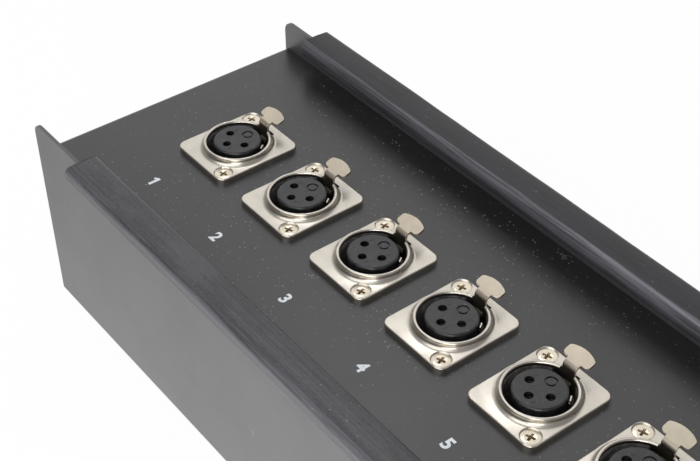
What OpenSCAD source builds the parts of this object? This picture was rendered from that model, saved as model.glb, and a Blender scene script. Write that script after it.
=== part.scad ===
// Stage box for a multicore snake: a folded steel tray with raised, rubber-capped lips, a folded
// chassis that closes it and carries a row of latching three-pole sockets, and a cable gland in one end.
// The box lies along X, the lips run along X at the front (-Y) and the rear (+Y), and +Z is up.
// The origin is the centre of the whole part's footprint, on the plane that the rubber feet stand on.

/* [Box] */
// Distance between the centres of neighbouring sockets
socket_pitch = 35.7; // [34:0.1:45]
// Distance from an end socket's centre to the end of the box
end_margin = 41.2; // [36:0.1:60]
// Outer width of the box across its two long walls
box_width = 101.2; // [90:0.1:140]
// Height of the long walls, from the underside of the base to the top of the lips
wall_height = 73.4; // [65:0.1:110]
// How far the lips stand above the panel
lip_rise = 10.9; // [9:0.1:18]
// Thickness of the sheet steel
sheet = 1.2; // [1:0.1:1.6]
// Outer radius of the bends in the tray and the chassis
bend_radius = 2.4; // [1.8:0.1:4]
// Radius of the rounded corners at the ends of the lips
lip_corner = 4; // [1:0.5:8]
// Gap between the chassis and the tray's long walls
chassis_gap = 0.3; // [0.1:0.05:0.6]
// Width of the flanges at the foot of the chassis
flange_depth = 16; // [14:0.5:20]
// How far the row of sockets sits behind the middle of the panel
row_offset = 0.7; // [-3:0.1:3]

/* [Rubber strips] */
// Length of each rubber strip
strip_length = 284.6; // [200:0.1:290]
// Distance from the left end of the box to the front strip
front_strip_start = 30.4; // [5:0.1:35]
// Distance from the left end of the box to the rear strip
rear_strip_start = 17.4; // [5:0.1:35]
// Width of a strip across the lip
strip_width = 12.4; // [10:0.1:16]
// Height of a strip's flattened hose section
strip_height = 7.2; // [6.5:0.1:9]
// Thickness of the hose's wall, which rests on the lip
strip_wall = 2; // [1.5:0.1:2.5]
// Radius of a strip's upper edges
strip_top_radius = 2; // [1:0.1:3]
// Radius of a strip's lower edges
strip_low_radius = 2.8; // [1:0.1:3.2]
// Radius inside the hollow of a strip
strip_hollow_radius = 0.9; // [0.3:0.1:1]
// Clearance between the lip and each side of a strip's slit
slit_gap = 0.1; // [0.05:0.05:0.3]

/* [Socket flange] */
// Width of a socket's flange along the box
flange_width = 26; // [25:0.1:27]
// Height of a socket's flange across the box
flange_height = 31; // [30:0.1:33]
// Thickness of a socket's flange
flange_thick = 2; // [1.5:0.1:3]
// Radius of the flange's corners
flange_corner = 3; // [1.5:0.1:4]
// Radius along the flange's upper edges
flange_edge = 0.5; // [0.2:0.1:0.8]
// Distance between the two screws along the box
screw_span_x = 19; // [18.5:0.1:19.5]
// Distance between the two screws across the box
screw_span_y = 24; // [23.5:0.1:24.5]

/* [Socket body] */
// Diameter of the bore that a plug's sleeve enters
bore_diameter = 20; // [19.6:0.1:20.4]
// Height of the collar above the flange
collar_height = 2.2; // [1.6:0.1:3]
// Thickness of the collar's wall
collar_wall = 1.2; // [0.8:0.1:1.4]
// Diameter of the body behind the flange
body_diameter = 23.8; // [23.4:0.1:24.2]
// Depth of the body below the flange's face
body_depth = 18.5; // [17:0.1:24]
// Thickness of the disc under the insert, which closes the body from behind
insert_base = 4; // [3:0.1:5]
// Thickness of the insulating liner inside the body
liner_wall = 0.6; // [0.4:0.05:0.8]
// Distance from the top of the collar down to the liner
liner_drop = 1.3; // [0.8:0.1:2]
// Clearance round the body in the panel and round the insert in the body
socket_gap = 0.1; // [0.05:0.05:0.2]

/* [Insert and contacts] */
// Diameter of the insulating insert
insert_diameter = 15.7; // [15.2:0.1:16]
// Radius round the insert's front face
insert_edge = 0.8; // [0.3:0.1:1.2]
// Radius of the circle on which the contacts stand
contact_circle = 4.1; // [3.8:0.1:4.2]
// Diameter of the holes in the insert's face
pin_hole = 2.7; // [2.5:0.1:2.9]
// Depth of the narrow mouth of each hole
pin_mouth = 2; // [0.8:0.1:2.4]
// Outer diameter of a contact
contact_diameter = 3.2; // [3:0.1:3.4]
// Inner diameter of a contact, which takes a plug's pin
contact_bore = 2.4; // [2.3:0.05:2.5]
// Depth of a contact's bore
contact_depth = 13; // [10:0.1:14]
// Length of the solder cup behind the insert
cup_length = 5; // [3:0.1:8]

/* [Latch] */
// Width of the latch's lever in its slot
lever_width = 4.8; // [4:0.1:5]
// Thickness of the latch's metal
lever_thick = 0.7; // [0.6:0.05:0.8]
// Clearance beside the lever in its slot
lever_gap = 0.3; // [0.25:0.05:0.5]
// Depth of the pivot below the flange's face
pivot_depth = 9; // [7:0.1:10]
// Height at which the lever starts to bend into its tab
lever_height = 3; // [2.6:0.1:4]
// Radius of that bend at the middle of the metal
lever_bend = 1.4; // [1:0.1:2]
// Angle by which the tab rises from the panel
tab_tilt = 17; // [5:1:30]
// Length of the tab from the bend
tab_length = 5.4; // [4:0.1:7]
// Width of the tab
tab_width = 9.6; // [8:0.1:11]
// Radius of the tab's arched far edge
tab_arch = 9.5; // [7:0.1:15]
// How far the hook reaches into the bore
hook_reach = 0.45; // [0.3:0.05:0.5]
// Diameter of the pivot pin
pivot_diameter = 1; // [0.8:0.1:1.1]
// Radial clearance of the lever on its pin
pivot_gap = 0.05; // [0.03:0.01:0.08]
// Diameter of the torsion spring's wire
spring_wire = 0.3; // [0.2:0.05:0.3]
// Number of turns in the torsion spring
spring_turns = 3; // [2:1:4]

/* [Screws and nuts] */
// Thread diameter of all the screws
thread = 3; // [2.5:0.1:3]
// Clearance round a screw in the holes it passes
hole_gap = 0.15; // [0.1:0.05:0.25]
// Diameter of a countersunk head
head_diameter = 5.6; // [5.2:0.1:5.8]
// Height of a countersunk head
head_height = 1.4; // [1.2:0.1:1.5]
// Depth of a head below the flange's face
head_sunk = 0.3; // [0.1:0.05:0.4]
// Distance across the flats of a nut
nut_flats = 5.5; // [5:0.1:6]
// Thickness of a nut
nut_thick = 2.4; // [1.8:0.1:3]

// Distance from a case screw to the long side of the chassis
case_screw_inset = 18; // [10:0.5:30]

/* [Feet] */
// Height of the rubber feet
foot_height = 5; // [4:0.1:12]
// Diameter of the rubber feet where they meet the base
foot_diameter = 16; // [12:0.5:20]
// Distance from a foot's centre to the end of the box
foot_inset_x = 26; // [24:0.5:50]
// Distance from a foot's centre to the long side of the box
foot_inset_y = 18; // [12:0.5:30]

/* [Cable gland] */
// Diameter of the gland's thread in the end wall
gland_thread = 25; // [23:0.5:28]
// Diameter of the cable bore in the gland's seal
cable_bore = 15; // [10:0.5:15]
// Distance across the flats of the gland's nuts
gland_flats = 32; // [30:0.5:36]
// Thickness of the gland's hexagonal collar
gland_collar = 6; // [4:0.5:10]
// Thickness of the sealing washer against the wall
gland_washer_thick = 1.5; // [1:0.1:3]
// Length of the gland's outer neck
gland_neck = 10; // [8:0.5:14]
// Length of the gland's domed nut
gland_cap_length = 18; // [16:0.5:24]

/* [Hidden] */
$fn = 64;
// The row has eight sockets, the usual number for a small multicore box.
socket_count = 8;

// A cutter reaches this far past the faces that it breaks through.
past = 1;

// The box and the heights of its faces.
box_length = (socket_count - 1) * socket_pitch + 2 * end_margin;
gland_reach = gland_washer_thick + gland_collar + gland_cap_length + 0.5;
box_x = -gland_reach / 2;
base_z = foot_height;
floor_z = base_z + sheet;
lip_z = base_z + wall_height;
panel_z = lip_z - lip_rise;
face_z = panel_z + flange_thick;
wall_mid_y = (box_width - sheet) / 2;
chassis_width = box_width - 2 * (sheet + chassis_gap);

// The sockets, with heights measured from the face of the flange.
bore_r = bore_diameter / 2;
body_r = body_diameter / 2;
insert_low_z = insert_base - body_depth;
liner_r = bore_r + liner_wall;
liner_z = collar_height - liner_drop;
insert_r = insert_diameter / 2;
insert_z = collar_height + 0.1;
liner_outer_r = liner_r - socket_gap / 2;
insert_base_r = bore_r - socket_gap / 2;
collar_flare = collar_height - collar_wall / 2;
cavity_z = insert_z - pin_mouth;
sleeve_z = cavity_z - contact_depth - 1;
contact_gap = 0.05;
contact_rod_r = 0.35 * contact_diameter;
blank_ring = [2.6, 3.8, 0.4];

// The latch, seen from the end of the box with Y to the right.
slot_width = lever_width + 2 * lever_gap;
lever_y = bore_r + lever_thick;
pivot_y = lever_y - lever_thick / 2;
pivot_z = -pivot_depth;
knuckle_r = pivot_diameter / 2 + pivot_gap + 0.3;
latch_swing = 5;
slot_far_y = lever_y + lever_thick / 2 + (lever_height + pivot_depth) * sin(latch_swing) + 0.6;
tab_shoulder = 0.8;
tab_corner = 1;
tab_near_corner = 1.3;
hook_z = -1.4;
hook_height = 1.8;
window_width = 2.4;
pin_length = slot_width + 3.2;
liner_slot = pin_length + 0.6;
coil_r = pivot_diameter / 2 + 0.07 + spring_wire / 2;
coil_pitch = spring_wire + 0.15;
leg_x = coil_pitch * spring_turns / 2;
upper_leg = 3.4;
lower_leg = 2.2;
slot_low_z = pivot_z - lower_leg - 0.5;
liner_low_z = pivot_z - knuckle_r - 0.6;
upper_leg_y = lever_y + lever_thick / 2 + spring_wire / 2 + 0.03;
lower_leg_y = pivot_y + coil_r;

// The ground tongue lies in the gap between insert and bore.
tongue_angle = 35;
tongue_width = 2;
tongue_thick = 0.35;
tongue_gap = 0.15;
tongue_rise = 0.9;

// The screws.
clear_r = thread / 2 + hole_gap;
screw_r = thread / 2 - 0.05;
sink_slope = (head_diameter / 2 - screw_r) / head_height;
sink_r = head_diameter / 2 + head_sunk * sink_slope + 0.05;
pan_head = [5.8, 2];
pan_sunk = 2.2;
case_screw_x = box_length / 2 - flange_depth / 2;
case_screw_y = chassis_width / 2 - case_screw_inset;
foot_x = box_length / 2 - foot_inset_x;
foot_y = box_width / 2 - foot_inset_y;

// The gland's axis runs along X through the middle of the end wall.
gland_z = (floor_z + panel_z - sheet) / 2;
gland_thread_r = gland_thread / 2 - 0.1;
gland_neck_r = gland_thread_r - 0.6;
seal_pocket = 8;
seal_pocket_r = gland_neck_r - 1.8;
locknut_thick = 5;
gland_inside = sheet + locknut_thick + 3;

function socket_x(n) = (n - (socket_count + 1) / 2) * socket_pitch;

// Places its children in the frame of the box, whose middle is off the origin because of the gland.
module in_box() {
    translate([box_x, 0, 0]) children();
}

// Places its children at socket n, with the flange's face at height 0.
module at_socket(n) {
    in_box() translate([socket_x(n), row_offset, face_z]) children();
}

// Places its children at the two screws of a socket, on one diagonal of the flange.
module at_socket_screws() {
    for (side = [-1, 1])
        translate([side * screw_span_x / 2, -side * screw_span_y / 2, 0]) children();
}

module at_four(x, y) {
    for (sx = [-1, 1], sy = [-1, 1])
        translate([sx * x, sy * y, 0]) children();
}

// Turns an outline drawn in Y and Z into a bar along X, about its middle.
module along_x(length) {
    rotate([90, 0, 90]) linear_extrude(length, center = true) children();
}

// Turns an outline drawn in X and Z into a bar along Y, about its middle.
module along_y(length) {
    rotate([90, 0, 0]) linear_extrude(length, center = true) children();
}

// An outline that stands on the X axis, with one radius for its lower and one for its upper corners.
module soft_box(width, height, low_r, top_r) {
    low_run = width / 2 - low_r;
    top_run = width / 2 - top_r;
    for (side = [-1, 1]) {
        translate([side * low_run, low_r]) circle(low_r);
        translate([side * top_run, height - top_r]) circle(top_r);
    }
    translate([-low_run, 0]) square([2 * low_run, height / 2]);
    translate([-top_run, height / 2]) square([2 * top_run, height / 2]);
    translate([-width / 2, low_r]) square([width, height - low_r - top_r]);
}

// A square outline with straight upper corners, open above, for the tray's folded section.
module round_bottomed(width, height, r) {
    translate([-width / 2, r]) square([width, height - r]);
    translate([-width / 2 + r, 0]) square([width - 2 * r, height / 2]);
    for (side = [-1, 1])
        translate([side * (width / 2 - r), r]) circle(r);
}

module hexagon(flats) {
    circle(r = flats / sqrt(3), $fn = 6);
}

// A flat bar's section, level with the X axis on top, with its upper edges rounded.
module slab_section(width, thick, edge) {
    translate([-width / 2, -thick]) square([width, thick - edge]);
    translate([-width / 2 + edge, -thick]) square([width - 2 * edge, thick]);
    for (side = [-1, 1])
        translate([side * (width / 2 - edge), -edge]) circle(edge);
}

// A plate with round corners whose upper edges are rounded all the way round.
module soft_slab(width, height, thick, corner, edge) {
    along_x(width - 2 * corner) slab_section(height, thick, edge);
    along_y(height - 2 * corner) slab_section(width, thick, edge);
    at_four(width / 2 - corner, height / 2 - corner)
        rotate_extrude() {
            translate([0, -thick]) square([corner, thick - edge]);
            translate([0, -thick]) square([corner - edge, thick]);
            translate([corner - edge, -edge]) intersection() {
                circle(edge);
                square(2 * edge);
            }
        }
}

// A stretch of bent sheet seen from its edge, from angle a0 to angle a1.
module bend_sector(r, thick, a0, a1) {
    reach = 3 * (r + thick);
    middle = (a0 + a1) / 2;
    intersection() {
        difference() {
            circle(r + thick / 2);
            circle(r - thick / 2);
        }
        polygon([
            [0, 0],
            reach * [cos(a0), sin(a0)],
            reach * [cos(middle), sin(middle)],
            reach * [cos(a1), sin(a1)]
        ]);
    }
}

// The tray: a base and two long walls folded from one sheet, with round-cornered lips.
module tray() {
    color("dimgray") in_box() difference() {
        intersection() {
            translate([0, 0, base_z]) along_x(box_length) difference() {
                round_bottomed(box_width, wall_height, bend_radius);
                translate([0, sheet])
                    round_bottomed(box_width - 2 * sheet, wall_height, bend_radius - sheet);
            }
            translate([0, 0, base_z - lip_corner]) along_y(box_width + 2 * past)
                soft_box(box_length, wall_height + lip_corner, lip_corner / 2, lip_corner);
        }
        translate([0, 0, base_z - past]) {
            at_four(foot_x, foot_y) cylinder(h = sheet + 2 * past, r = clear_r);
            at_four(case_screw_x, case_screw_y) cylinder(h = sheet + 2 * past, r = clear_r);
        }
    }
}

// The chassis: the panel, two end walls and their inward flanges, folded from one sheet.
module chassis() {
    height = panel_z - floor_z;
    inner_r = bend_radius - sheet;
    color("dimgray") in_box() difference() {
        translate([0, 0, floor_z]) along_y(chassis_width) difference() {
            soft_box(box_length, height, bend_radius, bend_radius);
            translate([0, sheet])
                soft_box(box_length - 2 * sheet, height - 2 * sheet, inner_r, inner_r);
            translate([-box_length / 2 + flange_depth, -past])
                square([box_length - 2 * flange_depth, sheet + 2 * past]);
        }
        for (n = [1:socket_count])
            translate([socket_x(n), row_offset, panel_z - sheet - past]) {
                cylinder(h = sheet + 2 * past, r = body_r + socket_gap);
                at_socket_screws() cylinder(h = sheet + 2 * past, r = clear_r);
            }
        translate([0, 0, floor_z - past])
            at_four(case_screw_x, case_screw_y) cylinder(h = sheet + 2 * past, r = clear_r);
        translate([box_length / 2 - sheet - past, 0, gland_z]) rotate([0, 90, 0])
            cylinder(h = sheet + 2 * past, r = gland_thread / 2 + 0.1);
    }
}

// A rubber strip: a hose that is slit below, pushed over the lip and pressed flat by it.
module strip(start, y) {
    hollow = [strip_width - 2 * strip_wall, strip_height - 2 * strip_wall];
    color("darkslategray") in_box()
        translate([start + strip_length / 2 - box_length / 2, y, lip_z + strip_wall - strip_height])
            along_x(strip_length) difference() {
                soft_box(strip_width, strip_height, strip_low_radius, strip_top_radius);
                translate([0, strip_wall])
                    soft_box(hollow[0], hollow[1], strip_hollow_radius, strip_hollow_radius);
                translate([-sheet / 2 - slit_gap, -past])
                    square([sheet + 2 * slit_gap, strip_wall + 2 * past]);
            }
}

module front_strip() {
    strip(front_strip_start, -wall_mid_y);
}

module rear_strip() {
    strip(rear_strip_start, wall_mid_y);
}

// Four rubber feet, each a tapered disc with a pocket for its screw's head.
module feet() {
    low_r = 0.875 * foot_diameter / 2;
    color("black") in_box() at_four(foot_x, foot_y) difference() {
        union() {
            translate([0, 0, 1]) cylinder(h = foot_height - 1, r1 = low_r, r2 = foot_diameter / 2);
            rotate_extrude() {
                square([low_r - 1, 1]);
                translate([low_r - 1, 1]) intersection() {
                    circle(1);
                    translate([0, -1]) square([1, 1]);
                }
            }
        }
        translate([0, 0, -past]) cylinder(h = foot_height + 2 * past, r = clear_r);
        translate([0, 0, -past]) cylinder(h = pan_sunk + past, r = pan_head[0] / 2 + 0.5);
    }
}

// A pan-headed screw that points up, with the seat of its head at height 0.
module pan_screw(length) {
    difference() {
        union() {
            translate([0, 0, -pan_head[1]]) cylinder(h = pan_head[1], r = pan_head[0] / 2);
            cylinder(h = length, r = screw_r);
        }
        cross_recess(-pan_head[1], 1.2, 1);
    }
}

// The cross in a screw's head, cut from the height given, downwards for -1 and upwards for 1.
module cross_recess(z, depth, way) {
    for (turn = [0, 90])
        translate([0, 0, z + way * (depth - past) / 2]) rotate([0, 0, turn])
            cube([3, 0.7, depth + past], center = true);
}

// A nut on a screw, standing on height 0.
module nut() {
    linear_extrude(nut_thick) difference() {
        hexagon(nut_flats);
        circle(thread / 2);
    }
}

module foot_screws() {
    color("silver") in_box() at_four(foot_x, foot_y)
        translate([0, 0, pan_sunk]) pan_screw(floor_z - pan_sunk + nut_thick + 1);
}

module foot_nuts() {
    color("silver") in_box() at_four(foot_x, foot_y) translate([0, 0, floor_z]) nut();
}

module case_screws() {
    color("silver") in_box() at_four(case_screw_x, case_screw_y)
        translate([0, 0, base_z]) pan_screw(2 * sheet + nut_thick + 1);
}

module case_nuts() {
    color("silver") in_box() at_four(case_screw_x, case_screw_y)
        translate([0, 0, floor_z + sheet]) nut();
}

// The countersunk screws that hold the sockets, two to each.
module socket_screws() {
    length = flange_thick + sheet + nut_thick + 1.5;
    color("silver") for (n = [1:socket_count]) at_socket(n) at_socket_screws()
        difference() {
            union() {
                translate([0, 0, -head_sunk - head_height])
                    cylinder(h = head_height, r1 = screw_r, r2 = head_diameter / 2);
                translate([0, 0, -length]) cylinder(h = length - head_sunk - 0.5, r = screw_r);
            }
            cross_recess(-head_sunk, 0.9, -1);
        }
}

module socket_nuts() {
    color("silver") for (n = [1:socket_count]) at_socket(n) at_socket_screws()
        translate([0, 0, -flange_thick - sheet - nut_thick]) nut();
}

// The die-cast shell: flange, raised collar, body, latch slot and the ears that hold the pivot.
module socket_shell(n) {
    color("silver") at_socket(n) difference() {
        union() {
            soft_slab(flange_width, flange_height, flange_thick, flange_corner, flange_edge);
            translate([0, 0, -body_depth]) cylinder(h = body_depth - flange_thick / 2, r = body_r);
            collar();
        }
        cylinder(h = collar_height + past, r = bore_r);
        translate([0, 0, -body_depth - past])
            cylinder(h = body_depth + past + liner_z, r = liner_r);
        at_socket_screws() socket_sink();
        latch_slot();
    }
}

// The collar's round rim and the hollow sweep down to the flange.
module collar() {
    outer_r = bore_r + collar_wall;
    rotate_extrude() {
        translate([bore_r, -flange_thick / 2])
            square([collar_wall, collar_flare + flange_thick / 2]);
        translate([bore_r + collar_wall / 2, collar_flare]) circle(collar_wall / 2);
        difference() {
            translate([outer_r - collar_wall / 2, -flange_thick / 2])
                square([collar_flare + collar_wall / 2, collar_flare + flange_thick / 2]);
            translate([outer_r + collar_flare, collar_flare]) circle(collar_flare);
        }
    }
}

// A countersunk hole, which also cuts the foot of the collar's sweep.
module socket_sink() {
    translate([0, 0, -flange_thick - past]) cylinder(h = flange_thick + 2 * past, r = clear_r);
    translate([0, 0, -(sink_r - clear_r) / sink_slope])
        cylinder(h = (sink_r - clear_r) / sink_slope, r1 = clear_r, r2 = sink_r);
    cylinder(h = collar_height, r = sink_r);
}

// The slot for the lever and its spring, and the hole for their pin.
module latch_slot() {
    translate([-slot_width / 2, bore_r - 2, slot_low_z])
        cube([slot_width, slot_far_y - bore_r + 2, collar_height + past - slot_low_z]);
    translate([0, pivot_y, pivot_z]) rotate([0, 90, 0])
        cylinder(h = pin_length + 0.2, r = pivot_diameter / 2 + 0.02, center = true);
}

module latch_pins() {
    color("gray") for (n = [1:socket_count]) at_socket(n)
        translate([0, pivot_y, pivot_z]) rotate([0, 90, 0])
            cylinder(h = pin_length, r = pivot_diameter / 2, center = true);
}

// The insulating insert: a round post with the contacts' holes and a keying rib.
module socket_insert(n) {
    color("#303033") at_socket(n) difference() {
        union() {
            rotate_extrude() {
                translate([0, insert_low_z])
                    square([insert_r, insert_z - insert_edge - insert_low_z]);
                translate([0, insert_low_z])
                    square([insert_r - insert_edge, insert_z - insert_low_z]);
                translate([insert_r - insert_edge, insert_z - insert_edge]) circle(insert_edge);
            }
            rotate([0, 0, 120]) translate([insert_r - 1, -0.8, insert_low_z])
                cube([1.7, 1.6, insert_z - insert_low_z - 1.2]);
        }
        at_contacts() {
            translate([0, 0, sleeve_z])
                cylinder(h = cavity_z - sleeve_z, r = contact_diameter / 2 + contact_gap);
            translate([0, 0, -body_depth - past])
                cylinder(h = body_depth, r = contact_rod_r + contact_gap);
            cylinder(h = insert_z + past, r = pin_hole / 2);
        }
        translate([0, contact_circle, insert_z - blank_ring[2]]) difference() {
            cylinder(h = blank_ring[2] + past, r = blank_ring[1] / 2);
            translate([0, 0, -past]) cylinder(h = blank_ring[2] + 3 * past, r = blank_ring[0] / 2);
        }
    }
}

// The discs that the inserts stand on, which close the shells from behind. A contact's sleeve that is
// long enough to reach one has a pocket in it.
module insert_bases() {
    color("#303033") for (n = [1:socket_count]) at_socket(n) difference() {
        translate([0, 0, -body_depth]) cylinder(h = insert_base, r = insert_base_r);
        at_contacts() {
            translate([0, 0, -body_depth - past])
                cylinder(h = insert_base + 2 * past, r = contact_rod_r + contact_gap);
            translate([0, 0, sleeve_z - contact_gap])
                cylinder(h = cavity_z - sleeve_z, r = contact_diameter / 2 + contact_gap);
        }
    }
}

// The insulating sleeves that line the shells, each open at the rear for the latch and its pin.
module socket_liners() {
    color("#303033") for (n = [1:socket_count]) at_socket(n) difference() {
        translate([0, 0, -body_depth]) cylinder(h = body_depth + liner_z - 0.1, r = liner_outer_r);
        translate([0, 0, -body_depth - past])
            cylinder(h = body_depth + 2 * past + liner_z, r = bore_r);
        translate([-liner_slot / 2, bore_r - 3, liner_low_z])
            cube([liner_slot, 6, body_depth]);
    }
}

// The three contacts stand left, below and right of the middle, and a blank ring stands above it.
module at_contacts() {
    for (turn = [180, 270, 360])
        rotate([0, 0, turn]) translate([contact_circle, 0, 0]) children();
}

// Each contact is a sleeve for a pin, a rod through the foot and a solder cup behind it.
module socket_contacts(n) {
    color("goldenrod") at_socket(n) at_contacts() difference() {
        union() {
            translate([0, 0, sleeve_z])
                cylinder(h = cavity_z - sleeve_z, r = contact_diameter / 2);
            translate([0, 0, -body_depth - cup_length])
                cylinder(h = body_depth + cup_length + sleeve_z + 0.5, r = contact_rod_r);
        }
        translate([0, 0, cavity_z - contact_depth])
            cylinder(h = contact_depth + past, r = contact_bore / 2);
        translate([0, 0, -body_depth - cup_length - past])
            cylinder(h = cup_length - 1.5 + past, r = contact_rod_r - 0.35);
    }
}

// The springy strip that earths a plug's sleeve, standing on the insert's foot.
module ground_tongues() {
    low = insert_r + tongue_gap;
    crest = low + tongue_rise;
    color("silver") for (n = [1:socket_count]) at_socket(n)
        rotate([0, 0, tongue_angle]) along_y(tongue_width) polygon([
            [low, insert_low_z],
            [low + tongue_thick, insert_low_z],
            [low + tongue_thick, -3],
            [crest + tongue_thick, -0.6],
            [low + tongue_thick + 0.2, 1],
            [low + 0.2, 1],
            [crest, -0.6],
            [low, -2.8]
        ]);
}

// The latch: a bent lever on its knuckle, with the hook below and the tab above. The bend is drawn in
// two stretches that overlap, and the second one is already turned with the tab.
module latch(n) {
    bend_y = lever_y + lever_bend;
    color("silver") at_socket(n) difference() {
        union() {
            along_x(lever_width) {
                translate([lever_y - lever_thick / 2, pivot_z])
                    square([lever_thick, lever_height + pivot_depth]);
                translate([pivot_y, pivot_z]) circle(knuckle_r);
                translate([bend_y, lever_height]) {
                    bend_sector(lever_bend, lever_thick, 120, 180);
                    rotate(tab_tilt) {
                        bend_sector(lever_bend, lever_thick, 90, 120);
                        translate([0, lever_bend - lever_thick / 2])
                            square([tab_shoulder + 1, lever_thick]);
                    }
                }
            }
            along_x(lever_width - 1.8) latch_hook();
            translate([0, bend_y, lever_height]) rotate([tab_tilt, 0, 0])
                translate([0, 0, lever_bend])
                    linear_extrude(lever_thick, center = true) thumb_plate();
        }
        translate([0, pivot_y, pivot_z]) rotate([0, 90, 0])
            cylinder(h = lever_width + 2 * past, r = pivot_diameter / 2 + pivot_gap, center = true);
        translate([-window_width / 2, pivot_y - 2, pivot_z - 2])
            cube([window_width, 4, 2 + upper_leg / 2]);
    }
}

// The hook's sloped lead-in faces up, so that an entering plug pushes it back.
module latch_hook() {
    inner_y = lever_y - lever_thick / 2;
    reach = inner_y - bore_r + hook_reach;
    polygon([
        [inner_y + lever_thick / 2, hook_z - hook_height],
        [inner_y - reach, hook_z - hook_height],
        [inner_y - reach, hook_z - hook_height / 2],
        [inner_y, hook_z],
        [inner_y + lever_thick / 2, hook_z]
    ]);
}

// The tab's broad end, whose far edge is an arch that runs into a rounded corner on each side.
module thumb_plate() {
    arch_y = tab_length - tab_arch;
    corner_x = tab_width / 2 - tab_corner;
    corner_y = arch_y + sqrt((tab_arch - tab_corner) ^ 2 - corner_x ^ 2);
    translate([0, tab_shoulder])
        soft_box(tab_width, corner_y + tab_corner - tab_shoulder, tab_near_corner, tab_corner);
    intersection() {
        translate([0, arch_y]) circle(tab_arch);
        polygon([
            [-corner_x, corner_y],
            [corner_x, corner_y],
            [2 * corner_x, 2 * corner_y - arch_y],
            [-2 * corner_x, 2 * corner_y - arch_y]
        ]);
    }
}

// The torsion spring's centre line: up behind the lever, round the pin, and down behind the liner.
function coil_point(turn) = [
    leg_x - coil_pitch * turn / 360,
    pivot_y + coil_r * cos(turn),
    pivot_z - coil_r * sin(turn)
];

spring_steps = 12;
spring_path = concat(
    [
        [leg_x, upper_leg_y, pivot_z + upper_leg],
        [leg_x, upper_leg_y, pivot_z + upper_leg / 2],
        [leg_x, lower_leg_y, pivot_z + coil_r]
    ],
    [for (i = [0:spring_turns * spring_steps]) coil_point(i * 360 / spring_steps)],
    [[-leg_x, lower_leg_y, pivot_z - lower_leg]]
);

function unit(v) = v / norm(v);

// The direction of a path at point i, averaged over its two neighbours.
function heading(path, i) = unit(path[min(i + 1, len(path) - 1)] - path[max(i - 1, 0)]);

// A round wire along a path that never runs along X, as rings of points joined by triangles.
module wire(path, diameter, sides) {
    rings = len(path);
    points = [
        for (i = [0:rings - 1])
            let (
                ahead = heading(path, i),
                out = unit(cross(ahead, [1, 0, 0])),
                side = cross(ahead, out)
            )
            for (k = [0:sides - 1])
                path[i] + diameter / 2 * (cos(k * 360 / sides) * out + sin(k * 360 / sides) * side)
    ];
    skin = [
        for (i = [0:rings - 2], k = [0:sides - 1])
            let (
                a = i * sides + k,
                b = i * sides + (k + 1) % sides
            )
            for (face = [[a, a + sides, b], [b, a + sides, b + sides]]) face
    ];
    first_cap = [for (k = [1:sides - 2]) [0, k, k + 1]];
    last = (rings - 1) * sides;
    last_cap = [for (k = [1:sides - 2]) [last, last + k + 1, last + k]];
    polyhedron(points, concat(skin, first_cap, last_cap));
}

module latch_spring(n) {
    color("gray") at_socket(n) wire(spring_path, spring_wire, 6);
}

// Places its children at the gland, with +Z outwards from the end wall's outer face.
module at_gland() {
    in_box() translate([box_length / 2, 0, gland_z]) rotate([0, 90, 0]) children();
}

// The gland's body: a thread through the wall, a hexagonal collar and a neck that holds the seal.
module gland_body() {
    collar_end = gland_washer_thick + gland_collar;
    neck_end = collar_end + gland_neck;
    color("#252527") at_gland() difference() {
        union() {
            translate([0, 0, -gland_inside])
                cylinder(h = gland_inside + collar_end, r = gland_thread_r);
            translate([0, 0, gland_washer_thick]) linear_extrude(gland_collar) hexagon(gland_flats);
            translate([0, 0, gland_washer_thick])
                cylinder(h = neck_end - gland_washer_thick, r = gland_neck_r);
        }
        translate([0, 0, -gland_inside - past])
            cylinder(h = neck_end + gland_inside + 2 * past, r = cable_bore / 2);
        translate([0, 0, neck_end - seal_pocket])
            cylinder(h = seal_pocket + past, r = seal_pocket_r);
    }
}

module gland_washer() {
    color("black") at_gland() difference() {
        cylinder(h = gland_washer_thick, r = gland_flats / 2);
        translate([0, 0, -past])
            cylinder(h = gland_washer_thick + 2 * past, r = gland_thread_r + 0.05);
    }
}

module gland_locknut() {
    color("#252527") at_gland() translate([0, 0, -sheet - locknut_thick])
        linear_extrude(locknut_thick) difference() {
            hexagon(gland_flats);
            circle(gland_thread_r + 0.05);
        }
}

// The rubber bush that the domed nut squeezes onto the cable.
module gland_seal() {
    start = gland_washer_thick + gland_collar + gland_neck - seal_pocket;
    color("black") at_gland() translate([0, 0, start]) difference() {
        cylinder(h = seal_pocket + 2, r = seal_pocket_r - 0.05);
        translate([0, 0, -past]) cylinder(h = seal_pocket + 2 + 2 * past, r = cable_bore / 2);
    }
}

// The domed nut, hexagonal near the collar and round towards its mouth.
module gland_cap() {
    start = gland_washer_thick + gland_collar + 0.5;
    hex_part = gland_cap_length / 2;
    mouth_r = cable_bore / 2 + 1;
    dome_r = gland_flats / 2 - 0.8;
    thread_part = gland_neck + 0.5;
    color("#252527") at_gland() translate([0, 0, start]) difference() {
        union() {
            linear_extrude(hex_part) hexagon(gland_flats);
            cylinder(h = hex_part + 2, r = dome_r);
            translate([0, 0, hex_part + 2])
                cylinder(h = gland_cap_length - hex_part - 2, r1 = dome_r, r2 = mouth_r + 2);
        }
        translate([0, 0, -past]) cylinder(h = thread_part + past, r = gland_neck_r + 0.05);
        translate([0, 0, thread_part])
            cylinder(h = gland_cap_length - thread_part, r1 = gland_neck_r - 0.4, r2 = mouth_r);
        translate([0, 0, gland_cap_length - past / 2]) cylinder(h = past, r = mouth_r);
    }
}

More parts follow.
